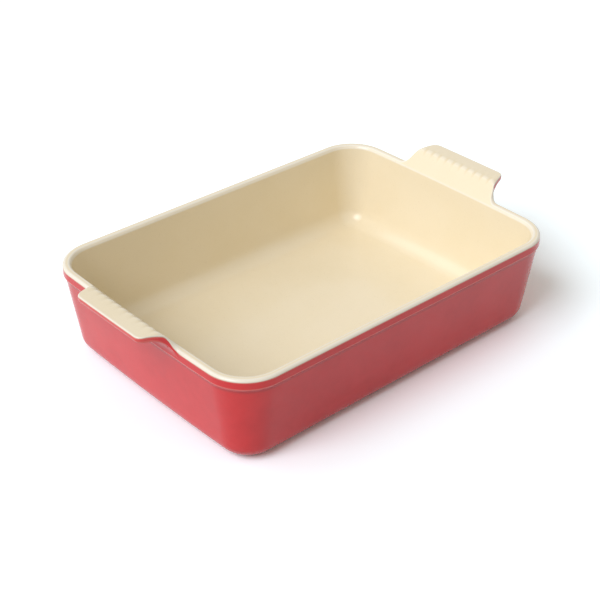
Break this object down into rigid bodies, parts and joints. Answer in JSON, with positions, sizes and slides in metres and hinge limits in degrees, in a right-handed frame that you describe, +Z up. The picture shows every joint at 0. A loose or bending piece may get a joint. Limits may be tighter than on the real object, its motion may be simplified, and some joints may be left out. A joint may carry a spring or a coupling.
{
  "type": "lasagna dish",
  "caption": "Deep rectangular stoneware baking dish with a banded rim, drafted walls, a ribbed grip tab at each short end and a bare foot ring.",
  "frame": {"origin": "middle of the plane that the foot ring stands on", "axes": "+X along the long side, through both handles; +Y across the dish; +Z up"},
  "size_m": [0.364, 0.229, 0.0895],
  "materials": {
    "stoneware": "matt unglazed clay, seen on the foot ring",
    "cream": "glossy cream glaze",
    "red": "glossy cherry red glaze"
  },
  "bodies": {
    "root": {"stoneware_body": "stoneware", "cream_glaze": "cream", "red_glaze": "red", "base_glaze": "red"}
  },
  "joints": []
}
